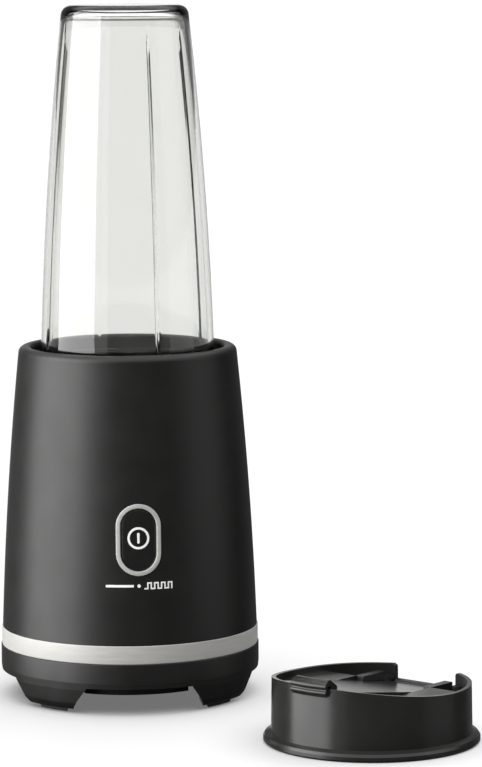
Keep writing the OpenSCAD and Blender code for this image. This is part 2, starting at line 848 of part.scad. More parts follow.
// The notch in the rim behind the hinge, which leaves the rim's ends rounded.
module lid_notch() {
    top = lid_rim_z + 0.3;
    x = notch_half + notch_corner;
    near_end = corner(x, top - notch_corner, notch_corner, 180, 90);
    far_end = [for (p = backwards(near_end)) [-p[0], p[1]]];
    translate([28, 0, 0]) rotate([90, 0, 90]) linear_extrude(height = 30)
        polygon(concat([[-notch_half, notch_z], [notch_half, notch_z]], near_end,
                       [[x, top + 9], [-x, top + 9]], far_end));
}

// The open pockets outside the ears, and the space around the hinge.
module lid_pockets(bore) {
    intersection() {
        rod(bore, pocket_z, 40);
        difference() {
            translate([pocket_u, -50, pocket_z - 1]) cube([50, 100, 30]);
            translate([pocket_u - 1, -ear_out, 0])
                cube([ear_end - pocket_u + 1, 2 * ear_out, 60]);
        }
    }
}

// The pockets' floor, their end wall and the body of the two ears.
module lid_pocket_walls(bore) {
    intersection() {
        rod(bore + 0.5, 15.4, pocket_z);
        translate([pocket_u - 1.6, -50, 15]) cube([50, 100, 3]);
    }
    intersection() {
        rod(bore + 0.6, 15.6, lid_deck_z - 0.3);
        translate([pocket_u - 1.8, -50, 15]) cube([1.8, 100, 10]);
    }
    for (s = [-1, 1]) translate([pocket_u - 1.2, s * (ear_out - 2.6) - 2.6, 15])
        cube([ear_end - pocket_u + 2.2, 5.2, 7.6]);
}

// The sloping floor and the two side walls that carry the flap below the deck.
module lid_trough(r_limit, low) {
    intersection() {
        rod(r_limit, 9, 29);
        union() {
            flap_place() translate([-7, -trough_half - 1, -low - trough_t])
                cube([61, 2 * trough_half + 2, trough_t + 0.6]);
            for (s = [-1, 1]) translate([-14, s * (trough_half + 0.5) - 1.1, 13.2])
                cube([62, 2.2, lid_deck_z - 13.8]);
        }
    }
}

module lid_shell() {
    bore = lid_wall_r - lid_wall;
    low = flap_t / 2 + flap_gap;
    color("#232324") lid_place() difference() {
        union() {
            lid_wall_ring();
            ring(35.2, bore + 0.7, 12.6, 14.4);
            difference() {
                union() {
                    rod(bore + 0.4, lid_deck_z - 1.8, lid_deck_z);
                    lid_trough(bore + 1, low);
                    lid_pocket_walls(bore);
                }
                lid_pockets(bore + 0.2);
            }
            for (s = [-1, 1]) intersection() {
                rod(bore + 1.3, 10, 30);
                translate([hinge_u - 3.4, s * (trough_half - 1.6) - 2.3, 12.9])
                    cube([9, 4.6, 7.7]);
            }
        }
        flap_place() translate([step_x, -trough_half, -low])
            cube([50, 2 * trough_half, 30]);
        flap_place() translate([-3.5, -ear_half, -low])
            cube([step_x + 4.5, 2 * ear_half, 30]);
        lid_notch();
        translate([hinge_u, 0, hinge_z]) across(3.1, notch_half + 0.2);
        translate([hinge_u, 0, hinge_z]) across(pin_r, 19.9);
        translate([drink_u, 0, 0]) rod(drink_r, 15, 30);
    }
}

module lid_gasket() {
    color("#cfcdc6") lid_place() ring(35.8, 41.8, 10.8, 12.6);
}

module lid_hinge_pin() {
    color("#8e8f92") lid_place() translate([hinge_u, 0, hinge_z]) across(pin_r, 19.8);
}

// Section of the finger tab: over the rim, down its outside, with two finger ridges.
module tab_section() {
    polygon(concat(
        [[35, 28.2], [41.7, 28.6], [41.7, 31.8], [44.7, 31.8], [44.7, 27.6], [45.3, 27.2],
         [46, 27.4], [46.2, 28.2]],
        corner(46.2, 29.3, 0.95, -80, 80, 6),
        [[46.2, 30.6]],
        corner(45.9, 32, 1.2, -60, 80, 6),
        [[45.2, 33.8], [44.2, 34.5], [42.4, 34.6], [35.6, 30.9], [35, 30.2]]));
}

module lid_flap() {
    barrel_half = notch_half - 0.4;
    narrow = barrel_half - 0.8;
    reach = step_x + 0.6;
    tab_half_angle = asin(tab_w / 2 / lid_wall_r);
    color("#1e1e1f") lid_place() difference() {
        union() {
            intersection() {
                rod(41.6, 5, 40);
                flap_place() translate([0, 0, -flap_t / 2]) linear_extrude(height = flap_t)
                    polygon([[0, -narrow], [reach, -narrow], [reach, -flap_w / 2],
                             [90, -flap_w / 2], [90, flap_w / 2], [reach, flap_w / 2],
                             [reach, narrow], [0, narrow]]);
            }
            translate([hinge_u, 0, hinge_z]) across(2.6, barrel_half);
            rotate([0, 0, 180 + tab_turn - tab_half_angle])
                rotate_extrude(angle = 2 * tab_half_angle) tab_section();
        }
        translate([hinge_u, 0, hinge_z]) across(pin_r + 0.08, barrel_half + 1);
    }
}

module flap_seal() {
    color("#3a3a3b") lid_place() difference() {
        translate([drink_u, 0, 0]) rod(drink_r - 0.6, 21.3, 30);
        flap_place() translate([20, -20, -flap_t / 2]) cube([60, 40, 20]);
    }
}

base_housing();
silver_band();
foot_base();
bottom_plate();
rubber_feet();
case_screws();
plate_screws();
well_liner();
button_bezel();
function_marks();
cord_gland();
control_board();
board_screws();
button_switch();
interlock_switch();
motor_lower_bracket();
motor_cushions();
motor_screws();
motor_upper_bracket();
bracket_screws();
motor_bolts();
motor_spacers();
lower_bearing();
upper_bearing();
stator_core();
field_coils();
brush_holders();
carbon_brushes();
motor_shaft();
armature_core();
armature_windings();
commutator();
cooling_fan();
drive_coupling();
blade_shaft();
driven_coupling();
thrust_washer();
lower_blade();
upper_blade();
blade_nut();
lock_ring();
interlock_plunger();
blade_base();
bearing_bush();
shaft_seal();
cup_gasket();
blending_cup();
power_button();
power_icon();
lid_shell();
lid_gasket();
lid_hinge_pin();
lid_flap();
flap_seal();
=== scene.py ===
"""The looks of a countertop blender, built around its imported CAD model.

Pieces are drawn in millimetres in the CAD's own frame and scaled to metres when they are finished.
Heights and radii come from the boxes of the CAD nodes that each piece stands for.
"""

import json
import math

import bmesh
import bpy
from mathutils import Matrix, Quaternion, Vector

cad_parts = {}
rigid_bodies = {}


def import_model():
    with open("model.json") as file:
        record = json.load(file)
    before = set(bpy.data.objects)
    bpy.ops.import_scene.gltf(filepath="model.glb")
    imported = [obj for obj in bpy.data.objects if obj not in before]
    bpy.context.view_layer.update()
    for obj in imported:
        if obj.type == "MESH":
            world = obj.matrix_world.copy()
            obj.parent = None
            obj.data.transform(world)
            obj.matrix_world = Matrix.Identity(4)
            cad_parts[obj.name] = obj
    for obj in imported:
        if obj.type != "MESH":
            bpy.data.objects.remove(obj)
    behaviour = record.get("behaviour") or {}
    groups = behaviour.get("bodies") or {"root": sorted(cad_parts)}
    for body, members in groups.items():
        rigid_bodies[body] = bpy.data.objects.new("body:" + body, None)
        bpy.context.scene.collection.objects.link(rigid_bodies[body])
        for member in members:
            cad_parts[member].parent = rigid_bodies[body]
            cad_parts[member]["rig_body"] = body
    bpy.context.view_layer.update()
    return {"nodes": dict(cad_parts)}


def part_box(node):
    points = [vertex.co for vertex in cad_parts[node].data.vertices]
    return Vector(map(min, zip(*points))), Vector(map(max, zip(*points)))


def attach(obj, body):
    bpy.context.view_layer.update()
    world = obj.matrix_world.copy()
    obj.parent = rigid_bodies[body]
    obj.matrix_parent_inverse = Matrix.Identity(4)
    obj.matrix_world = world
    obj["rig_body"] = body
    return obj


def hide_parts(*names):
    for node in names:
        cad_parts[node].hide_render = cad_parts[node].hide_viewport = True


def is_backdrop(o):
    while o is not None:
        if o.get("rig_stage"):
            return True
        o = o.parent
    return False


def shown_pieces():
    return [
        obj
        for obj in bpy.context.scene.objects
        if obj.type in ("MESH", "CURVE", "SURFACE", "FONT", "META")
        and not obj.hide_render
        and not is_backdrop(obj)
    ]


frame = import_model()

# ---------------------------------------------------------------- sizes, in millimetres

MM = 0.001
ROUND_STEPS = 240


def low(node):
    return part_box(node)[0] / MM


def high(node):
    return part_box(node)[1] / MM


RIM_Z = high("base_housing").z
HOUSING_BOTTOM_R = high("base_housing").x
HOUSING_TOP_R = 50.8
HOUSING_BOW = 1.1
HOUSING_WALL = 2.6
RIM_CORNER = 3.2
RIM_INNER_CORNER = 2.0
MOUTH_R = 44.6
LIP_Z = high("well_liner").z
BAND_Z = low("silver_band").z
BAND_TOP_Z = high("silver_band").z
BAND_R = high("silver_band").x
SKIRT_R = high("foot_base").x
FOOT_BOTTOM_Z = low("foot_base").z
FLOOR_Z = high("bottom_plate").z
FOOT_CIRCLE_R = 50.5
FOOT_INNER_R = 38.6
FOOT_HOLE_R = 3.7
POST_BORE_R = 1.6
POST_R = 4.0
POST_LOW_Z = 35.5
POST_HIGH_Z = 64.0
PAD_HOLE_R = 3.0
PAD_R = 54.6
ARCH_HALF = 24.2
ARCH_FLARE = 5.6
GLAND_Z = (low("cord_gland").z + high("cord_gland").z) / 2
GLAND_HOLE_R = 6.6

BUTTON_Z = (low("button_bezel").z + high("button_bezel").z) / 2
BEZEL_W = high("button_bezel").x - low("button_bezel").x
BEZEL_H = high("button_bezel").z - low("button_bezel").z
BEZEL_BAND = 2.0
BUTTON_GAP = 0.38
BUTTON_FACE = -0.3
STRAIGHT_HALF = (BEZEL_H - BEZEL_W) / 2
MARKS_Z = (low("function_marks").z + high("function_marks").z) / 2
ICON_Z = (low("power_icon").z + high("power_icon").z) / 2

CUP_TOP_Z = high("blending_cup").z
CUP_LOW_Z = low("blending_cup").z
CUP_SHOULDER_R = 40.4
CUP_END_R = 29.6
CUP_BOW = 1.6
CUP_CORNER = 5.0
CUP_WALL = 2.3
CUP_END_WALL = 3.6
SHOULDER_Z = 157.3
NECK_R = 38.4
NECK_BORE_R = 36.1
RIB_TURN = 17.0
RIB_DEPTH = 1.6
RIB_START_Z = 160.0
THREAD_PITCH = 5.5
THREAD_DEPTH = 0.62
THREAD_LOW_Z = 134.0
THREAD_HIGH_Z = 150.5

# ---------------------------------------------------------------- materials


def new_material(name, **inputs):
    """A material with a Principled shader that has these constant inputs."""
    material = bpy.data.materials.new(name)
    material.use_nodes = True
    principled = material.node_tree.nodes["Principled BSDF"]
    for key, value in inputs.items():
        principled.inputs[key.replace("_", " ")].default_value = value
    return material


def add_node(material, kind, **settings):
    node = material.node_tree.nodes.new(kind)
    for key, value in settings.items():
        if key in node.inputs:
            node.inputs[key].default_value = value
        else:
            setattr(node, key, value)
    return node


def connect(material, source, target):
    material.node_tree.links.new(source, target)


def place(material, stretch=(1, 1, 1)):
    """The point on the piece, in metres, stretched along its axes."""
    coordinates = add_node(material, "ShaderNodeTexCoord")
    mapping = add_node(material, "ShaderNodeMapping", Scale=stretch)
    connect(material, coordinates.outputs["Object"], mapping.inputs["Vector"])
    return mapping.outputs["Vector"]


def noise(material, scale, detail=4.0, stretch=(1, 1, 1)):
    node = add_node(material, "ShaderNodeTexNoise", Scale=scale, Detail=detail)
    connect(material, place(material, stretch), node.inputs["Vector"])
    return node.outputs["Fac"]


def bands(material, scale, direction, distortion=0.0):
    """Even stripes across one axis, for stacked sheets and wound wire."""
    node = add_node(material, "ShaderNodeTexWave", Scale=scale, Distortion=distortion,
                    bands_direction=direction)
    connect(material, place(material), node.inputs["Vector"])
    return node.outputs["Fac"]


def tint(material, pattern, dark, light, spread=(0.3, 0.7)):
    """Base colour that runs between two tones with the pattern."""
    ramp = add_node(material, "ShaderNodeValToRGB")
    ramp.color_ramp.elements[0].position, ramp.color_ramp.elements[1].position = spread
    ramp.color_ramp.elements[0].color = (*dark, 1)
    ramp.color_ramp.elements[1].color = (*light, 1)
    connect(material, pattern, ramp.inputs["Fac"])
    principled = material.node_tree.nodes["Principled BSDF"]
    connect(material, ramp.outputs["Color"], principled.inputs["Base Color"])


def polish(material, pattern, smooth, rough):
    """Roughness that runs between two values with the pattern."""
    span = add_node(material, "ShaderNodeMapRange")
    for key, value in {"From Min": 0.3, "From Max": 0.7, "To Min": smooth, "To Max": rough}.items():
        span.inputs[key].default_value = value
    connect(material, pattern, span.inputs["Value"])
    principled = material.node_tree.nodes["Principled BSDF"]
    connect(material, span.outputs["Result"], principled.inputs["Roughness"])


def emboss(material, pattern, strength, depth):
    """Fine relief; depth is in metres."""
    bump = add_node(material, "ShaderNodeBump", Strength=strength, Distance=depth)
    connect(material, pattern, bump.inputs["Height"])
    principled = material.node_tree.nodes["Principled BSDF"]
    connect(material, bump.outputs["Normal"], principled.inputs["Normal"])


def grained(name, dark, light, rough, grain, relief=0.25, depth=0.00005, patch=90.0,
            stretch=(1, 1, 1), **inputs):
    """Moulded, cast or drawn stuff: uneven tone and gloss in patches, with a fine grain."""
    material = new_material(name, **inputs)
    tone = noise(material, patch, stretch=stretch)
    tint(material, tone, dark, light)
    polish(material, tone, *rough)
    emboss(material, noise(material, grain, 2.0, stretch), relief, depth)
    return material


def housing_black():
    return grained("housing_black", (0.0092, 0.0090, 0.0086), (0.0112, 0.0109, 0.0104),
                   (0.40, 0.45), 5200.0, 0.16, 0.00003, Specular_IOR_Level=0.42)


def skirt_black():
    return grained("skirt_black", (0.0092, 0.0090, 0.0086), (0.0112, 0.0109, 0.0104),
                   (0.42, 0.48), 5200.0, 0.18, 0.00003, Specular_IOR_Level=0.42)


def under_black():
    return grained("under_black", (0.0060, 0.0058, 0.0056), (0.0085, 0.0082, 0.0078),
                   (0.50, 0.62), 3600.0, 0.25)


def inner_black():
    return grained("inner_black", (0.0085, 0.0085, 0.0085), (0.0120, 0.0120, 0.0118),
                   (0.34, 0.42), 4200.0, 0.15)


def button_black():
    return grained("button_black", (0.0105, 0.0102, 0.0098), (0.0125, 0.0122, 0.0116),
                   (0.28, 0.32), 5200.0, 0.08, 0.00002)


def lid_black():
    return grained("lid_black", (0.0160, 0.0156, 0.0150), (0.0190, 0.0185, 0.0178),
                   (0.22, 0.26), 900.0, 0.05, 0.00003, Specular_IOR_Level=0.36)


def satin_silver():
    return grained("satin_silver", (0.400, 0.396, 0.380), (0.445, 0.440, 0.422),
                   (0.50, 0.56), 2600.0, 0.10, 0.00002, stretch=(1, 1, 9), Metallic=0.22)


def white_mark():
    return grained("white_mark", (0.72, 0.72, 0.71), (0.80, 0.80, 0.79), (0.45, 0.55), 3000.0,
                   0.10, 0.00001)


def clear_cup():
    material = new_material("clear_cup", Base_Color=(0.885, 0.888, 0.868, 1.0),
                            Transmission_Weight=1.0, IOR=1.49)
    polish(material, noise(material, 40.0), 0.015, 0.045)
    emboss(material, noise(material, 60.0, 2.0), 0.04, 0.0002)
    return material


def rubber_black():
    return grained("rubber_black", (0.0130, 0.0130, 0.0130), (0.0200, 0.0200, 0.0196),
                   (0.72, 0.86), 2800.0, 0.35)


def silicone_grey():
    return grained("silicone_grey", (0.56, 0.55, 0.52), (0.63, 0.62, 0.59), (0.50, 0.60),
                   2400.0, 0.12, Subsurface_Weight=0.05)


def screw_steel():
    return grained("screw_steel", (0.45, 0.45, 0.46), (0.58, 0.58, 0.59), (0.26, 0.38),
                   2500.0, 0.15, Metallic=1.0)


def blade_steel():
    """Ground stainless steel: fine scratches across the blade."""
    return grained("blade_steel", (0.55, 0.56, 0.57), (0.70, 0.71, 0.72), (0.16, 0.28),
                   900.0, 0.10, 0.00002, 260.0, (14, 1, 1), Metallic=1.0)


def bracket_metal():
    """Die-cast alloy: a mottled, slightly pitted skin."""
    return grained("bracket_metal", (0.36, 0.37, 0.38), (0.52, 0.53, 0.54), (0.42, 0.58),
                   1500.0, 0.35, 0.0001, 160.0, Metallic=0.9)


def lamination_steel():
    """A stack of half-millimetre sheets."""
    material = new_material("lamination_steel", Metallic=0.85)
    tint(material, noise(material, 300.0), (0.20, 0.20, 0.21), (0.33, 0.33, 0.34))
    polish(material, noise(material, 220.0), 0.38, 0.55)
    emboss(material, bands(material, 628.0, "Z"), 0.6, 0.0001)
    return material


def copper_wire():
    """Lacquered wire laid side by side."""
    material = new_material("copper_wire", Metallic=0.85, Coat_Weight=0.5, Coat_Roughness=0.2)
    tint(material, noise(material, 700.0), (0.36, 0.10, 0.035), (0.62, 0.24, 0.09))
    polish(material, noise(material, 500.0), 0.28, 0.42)
    emboss(material, bands(material, 520.0, "DIAGONAL", 1.5), 0.8, 0.0002)
    return material


def bush_bronze():
    return grained("bush_bronze", (0.42, 0.25, 0.10), (0.60, 0.40, 0.19), (0.30, 0.48),
                   3000.0, 0.25, Metallic=1.0)


def board_green():
    """Circuit board: solder mask with a faint pattern of tracks."""
    material = new_material("board_green", Specular_IOR_Level=0.6)
    tracks = add_node(material, "ShaderNodeTexBrick", Scale=420.0)
    connect(material, place(material), tracks.inputs["Vector"])
    tint(material, tracks.outputs["Fac"], (0.010, 0.070, 0.026), (0.055, 0.170, 0.070), (0, 1))
    polish(material, noise(material, 200.0), 0.24, 0.36)
    emboss(material, tracks.outputs["Fac"], 0.3, 0.00005)
    return material


def switch_grey():
    return grained("switch_grey", (0.030, 0.030, 0.032), (0.050, 0.050, 0.053), (0.40, 0.52),
                   3200.0, 0.15)


def brush_carbon():
    return grained("brush_carbon", (0.010, 0.010, 0.011), (0.035, 0.035, 0.037),
                   (0.50, 0.66), 1800.0, 0.35, 0.0001, 400.0, Metallic=0.3)


def nylon_natural():
    return grained("nylon_natural", (0.60, 0.58, 0.52), (0.70, 0.68, 0.62), (0.38, 0.48),
                   2600.0, 0.10, Subsurface_Weight=0.05)


# ---------------------------------------------------------------- mesh helpers


def rounded(corners, closed=True, steps=6):
    """A section of (x, y, radius) corners, each rounded off by an arc of its radius."""
    points = []
    for i, (x, y, radius) in enumerate(corners):
        here = Vector((x, y))
        if radius == 0 or (not closed and i in (0, len(corners) - 1)):
            points.append(here)
            continue
        before = Vector(corners[i - 1][:2]) - here
        after = Vector(corners[(i + 1) % len(corners)][:2]) - here
        half = before.angle(after) / 2
        reach = min(radius / math.tan(half), 0.49 * before.length, 0.49 * after.length)
        radius = reach * math.tan(half)
        middle = (before.normalized() + after.normalized()).normalized()
        centre = here + middle * (radius / math.sin(half))
        start = here + before.normalized() * reach - centre
        end = here + after.normalized() * reach - centre
        turn = math.atan2(start.x * end.y - start.y * end.x, start.dot(end))
        for k in range(steps + 1):
            a = turn * k / steps
            points.append(centre + Vector((start.x * math.cos(a) - start.y * math.sin(a),
                                           start.x * math.sin(a) + start.y * math.cos(a))))
    return points


def bowed(r0, z0, r1, z1, bow, steps=24):
    """A side from (r0, z0) to (r1, z1) that bows outwards, as points."""
    return [Vector((r0 + (r1 - r0) * t + 4 * bow * t * (1 - t), z0 + (z1 - z0) * t))
            for t in (i / steps for i in range(steps + 1))]


def arc(cx, cz, radius, start, end, steps=8):
    return [Vector((cx + radius * math.cos(math.radians(a)), cz + radius * math.sin(math.radians(a))))
            for a in (start + (end - start) * i / steps for i in range(steps + 1))]


def smooth(t):
    t = min(1.0, max(0.0, t))
    return t * t * (3 - 2 * t)


def skin(bm, rows, close_rows=True, close_columns=True):
    """Faces between neighbouring rows of points; each row has the same number of points."""
    made = [[bm.verts.new(p) for p in row] for row in rows]
    pairs = list(zip(made, made[1:])) + ([(made[-1], made[0])] if close_rows else [])
    for one, two in pairs:
        count = len(one)
        for i in range(count if close_columns else count - 1):
            j = (i + 1) % count
            bm.faces.new((one[i], one[j], two[j], two[i]))
    return made


def turned(bm, section, angles=None, closed=True):
    """Turns a section of (radius, height) points about the Z axis."""
    angles = angles or [360 * k / ROUND_STEPS for k in range(ROUND_STEPS)]
    rows = [[Vector((p.x * math.cos(math.radians(a)), p.x * math.sin(math.radians(a)), p.y))
             for p in section] for a in angles]
    skin(bm, rows, close_columns=closed)


def tube(bm, x, y, r_in, r_out, z_low, z_high, steps=24):
    """An upright pipe, open through its middle."""
    rows = []
    for k in range(steps):
        a = 2 * math.pi * k / steps
        rows.append([Vector((x + r * math.cos(a), y + r * math.sin(a), z))
                     for r, z in ((r_in, z_low), (r_out, z_low), (r_out, z_high), (r_in, z_high))])
    skin(bm, rows)


def piece(name, bm, body, material, stands_for=(), crease=38.0, bevel=0.0):
    """Finishes a mesh drawn in millimetres, says what it rides on, and hides the CAD nodes it stands
    for.
    """
    bmesh.ops.remove_doubles(bm, verts=bm.verts, dist=1e-4)
    bmesh.ops.recalc_face_normals(bm, faces=bm.faces)
    bmesh.ops.scale(bm, vec=(MM, MM, MM), verts=bm.verts)
    for face in bm.faces:
        face.smooth = True
    mark_creases(bm, crease)
    mesh = bpy.data.meshes.new(name)
    bm.to_mesh(mesh)
    bm.free()
    mesh.materials.append(material)
    obj = bpy.data.objects.new(name, mesh)
    bpy.context.scene.collection.objects.link(obj)
    if bevel:
        soften(obj, bevel, crease)
    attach(obj, body)
    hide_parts(*stands_for)
    return obj


def mark_creases(bm, crease):
    for edge in bm.edges:
        sharp = len(edge.link_faces) != 2 or edge.calc_face_angle(0) > math.radians(crease)
        edge.smooth = not sharp


def soften(obj, width, angle):
    """Rounds the sharp edges of a piece; the width is in millimetres."""
    bevel = obj.modifiers.new("edges", "BEVEL")
    bevel.width, bevel.segments = width * MM, 3
    bevel.limit_method, bevel.angle_limit = "ANGLE", math.radians(angle)
    bevel.harden_normals = True


def cut(obj, cutter):
    """Takes a closed mesh away from a piece."""
    modifier = obj.modifiers.new("cut", "BOOLEAN")
    modifier.object, modifier.operation, modifier.solver = cutter, "DIFFERENCE", "EXACT"
    bpy.context.view_layer.update()
    evaluated = obj.evaluated_get(bpy.context.evaluated_depsgraph_get())
    mesh = bpy.data.meshes.new_from_object(evaluated)
    obj.modifiers.remove(modifier)
    old, obj.data = obj.data, mesh
    bpy.data.meshes.remove(old)
    bpy.data.objects.remove(cutter)
    bm = bmesh.new()
    bm.from_mesh(mesh)
    mark_creases(bm, 38)
    for face in bm.faces:
        face.smooth = True
    bm.to_mesh(mesh)
    bm.free()


def cutter_from(bm):
    bmesh.ops.recalc_face_normals(bm, faces=bm.faces)
    bmesh.ops.scale(bm, vec=(MM, MM, MM), verts=bm.verts)
    mesh = bpy.data.meshes.new("cutter")
    bm.to_mesh(mesh)
    bm.free()
    obj = bpy.data.objects.new("cutter", mesh)
    bpy.context.scene.collection.objects.link(obj)
    return obj


def prism(bm, outline, direction):
    """Pushes a flat closed outline along a direction, with both ends closed."""
    near = [bm.verts.new(p) for p in outline]
    far = [bm.verts.new(p + direction) for p in outline]
    bm.faces.new(near)
    bm.faces.new(far)
    for i in range(len(near)):
        j = (i + 1) % len(near)
        bm.faces.new((near[i], near[j], far[j], far[i]))


# ---------------------------------------------------------------- the base's casing


def housing_r(z):
    """Radius of the housing's side at height z."""
    t = (z - BAND_TOP_Z) / (RIM_Z - RIM_CORNER - BAND_TOP_Z)
    return HOUSING_BOTTOM_R + (HOUSING_TOP_R - HOUSING_BOTTOM_R) * t + 4 * HOUSING_BOW * t * (1 - t)


def on_housing(x, z, out):
    """The point over (x, z) on the front of the housing, moved out from its surface."""
    radius = housing_r(z)
    slope = (housing_r(z + 0.5) - housing_r(z - 0.5))
    y = -math.sqrt(radius * radius - x * x)
    normal = Vector((x / radius, y / radius, -slope)).normalized()
    return Vector((x, y, z)) + normal * out


def stadium(radius, straight=None, arc_steps=20, side_steps=8):
    """Points of an upright oval about the origin: two half circles and two straight sides."""
    straight = STRAIGHT_HALF if straight is None else straight
    points = []
    for end, start in ((1, 0), (-1, 180)):
        points += [Vector((radius * math.cos(a), end * straight + radius * math.sin(a)))
                   for a in (math.radians(start + 180 * k / arc_steps)
                             for k in range(arc_steps + 1))]
        corner = points[-1]
        points += [Vector((corner.x, corner.y - 2 * end * straight * k / side_steps))
                   for k in range(1, side_steps)]
    return points


def housing_shell(material):
    inner_bottom = HOUSING_BOTTOM_R - HOUSING_WALL
    inner_top = housing_r(LIP_Z) - HOUSING_WALL
    section = (
        bowed(HOUSING_BOTTOM_R, BAND_TOP_Z, HOUSING_TOP_R, RIM_Z - RIM_CORNER, HOUSING_BOW, 40)
        + arc(HOUSING_TOP_R - RIM_CORNER, RIM_Z - RIM_CORNER, RIM_CORNER, 4, 90, 10)
        + arc(MOUTH_R + RIM_INNER_CORNER, RIM_Z - RIM_INNER_CORNER, RIM_INNER_CORNER, 90, 180)
        + [Vector((MOUTH_R, LIP_Z))]
        + bowed(inner_top, LIP_Z, inner_bottom, BAND_TOP_Z, HOUSING_BOW, 12)
    )
    bm = bmesh.new()
    turned(bm, section)
    shell = piece("housing_shell", bm, "base", material, ["base_housing"])

    opening = bmesh.new()
    prism(opening, [Vector((p.x, -45, BUTTON_Z + p.y)) for p in stadium(BEZEL_W / 2 + 0.22)],
          Vector((0, -25, 0)))
    cut(shell, cutter_from(opening))
    outlet = bmesh.new()
    prism(outlet, [Vector((GLAND_HOLE_R * math.cos(a), 45, GLAND_Z + GLAND_HOLE_R * math.sin(a)))
                   for a in (2 * math.pi * k / 40 for k in range(40))], Vector((0, 25, 0)))
    cut(shell, cutter_from(outlet))


def screw_bosses(material):
    """The four posts inside the housing that take the case screws."""
    bm = bmesh.new()
    for k in range(4):
        a = math.radians(45 + 90 * k)
        tube(bm, FOOT_CIRCLE_R * math.cos(a), FOOT_CIRCLE_R * math.sin(a),
             POST_BORE_R, POST_R, POST_LOW_Z, POST_HIGH_Z)
    piece("screw_bosses", bm, "base", material)


def band_ring(material):
    bm = bmesh.new()
    turned(bm, rounded([(BAND_R - 4.3, BAND_Z, 0), (BAND_R, BAND_Z, 0.45),
                        (BAND_R, BAND_TOP_Z, 0.45), (BAND_R - 4.3, BAND_TOP_Z, 0)]))
    piece("band_ring", bm, "base", material, ["silver_band"])


def arch_outline():
    """Half the section of an arch between two feet, from its top down, as (half width, z)."""
    top = FLOOR_Z + 0.02
    return rounded([(ARCH_HALF, top + 4, 0), (ARCH_HALF, top, 1.2),
                    (ARCH_HALF + 1.0, 11, 1.0), (ARCH_HALF + 2.2, 9.2, 3.0),
                    (ARCH_HALF + 4.2, 6, 3.0), (ARCH_HALF + 5.4, 3.2, 2.0),
                    (ARCH_HALF + ARCH_FLARE, -1, 0)], closed=False)


def arch_cutters():
    """Two straight tunnels through the feet, front to back and side to side."""
    right = [p for p in arch_outline() if p.y < FLOOR_Z]
    top = Vector((right[0].x, FLOOR_Z))
    outline = [top] + right + [Vector((-p.x, p.y)) for p in reversed([top] + right)]
    cutters = []
    for turn in (0, 90):
        bm = bmesh.new()
        prism(bm, [Vector((p.x, -80, p.y)) for p in outline], Vector((0, 160, 0)))
        bmesh.ops.rotate(bm, verts=bm.verts, cent=(0, 0, 0),
                         matrix=Matrix.Rotation(math.radians(turn), 3, "Z"))
        cutters.append(cutter_from(bm))
    return cutters


def foot_holes(radius, bottom, height):
    """Cutter for the screw holes in the four feet."""
    holes = bmesh.new()
    for k in range(4):
        a = math.radians(45 + 90 * k)
        centre = Vector((FOOT_CIRCLE_R * math.cos(a), FOOT_CIRCLE_R * math.sin(a), bottom))
        prism(holes, [centre + Vector((radius * math.cos(b), radius * math.sin(b), 0))
                      for b in (2 * math.pi * i / 32 for i in range(32))], Vector((0, 0, height)))
    return cutter_from(holes)


def skirt(material):
    """The black skirt under the band, with straight arches between its four feet."""
    section = rounded([(57.4, BAND_Z, 0), (SKIRT_R, BAND_Z, 0.4), (SKIRT_R, FLOOR_Z + 2.4, 4.0),
                       (59.9, FLOOR_Z - 1, 6.0), (58.6, 4.6, 5.0), (56.8, 1.9, 2.2),
                       (54.6, FOOT_BOTTOM_Z + 0.2, 1.5), (FOOT_INNER_R, FOOT_BOTTOM_Z, 0.5),
                       (FOOT_INNER_R, FLOOR_Z + 2.5, 0), (57.4, FLOOR_Z + 2.5, 0)])
    bm = bmesh.new()
    turned(bm, section)
    obj = piece("skirt_with_feet", bm, "base", material, ["foot_base"], 42)
    for cutter in arch_cutters():
        cut(obj, cutter)
    cut(obj, foot_holes(FOOT_HOLE_R, -1, 11.6))
    soften(obj, 0.55, 35)


def rubber_pads(material):
    """Four pads, each a rounded corner piece with a hole for the foot's screw."""
    bm = bmesh.new()
    near = ARCH_HALF + ARCH_FLARE + 2.3
    for k in range(4):
        turn = Matrix.Rotation(math.radians(90 * k), 3, "Z")
        start, end = math.asin(near / PAD_R), math.acos(near / PAD_R)
        outline = [Vector((near, near, 0))]
        outline += [Vector((PAD_R * math.cos(a), PAD_R * math.sin(a), 0))
                    for a in (start + (end - start) * i / 12 for i in range(13))]
        prism(bm, [turn @ p for p in outline], Vector((0, 0, 3.1)))
    pads = piece("rubber_pads", bm, "base", material, ["rubber_feet"])
    cut(pads, foot_holes(PAD_HOLE_R, -1, 6))
    soften(pads, 0.8, 40)


def cord_bushing(material):
    """The outlet for the cord: a soft bushing with a flange and a grip ring."""
    back = high("cord_gland").y
    section = rounded([(4.1, 50, 0), (8.5, 50, 0.3), (8.5, 53.5, 0.3), (6.4, 53.5, 0),
                       (6.4, 59.6, 0), (8.95, 60.0, 0.4), (8.8, 61.0, 0.4), (7.0, 61.5, 0.3),
                       (6.9, 62.0, 0.3), (7.0, 62.8, 0.4), (6.0, 63.3, 0.3),
                       (5.4, back, 0.5), (3.6, back, 0.4), (3.6, 59.5, 0), (4.1, 59.5, 0)])
    bm = bmesh.new()
    turned(bm, section, [360 * k / 64 for k in range(64)])
    lay_back = Matrix.Rotation(-math.pi / 2, 3, "X")
    bmesh.ops.rotate(bm, verts=bm.verts, cent=(0, 0, 0), matrix=lay_back)
    bmesh.ops.translate(bm, verts=bm.verts, vec=(0, 0, GLAND_Z))
    piece("cord_bushing", bm, "base", material, ["cord_gland"])


# ---------------------------------------------------------------- button


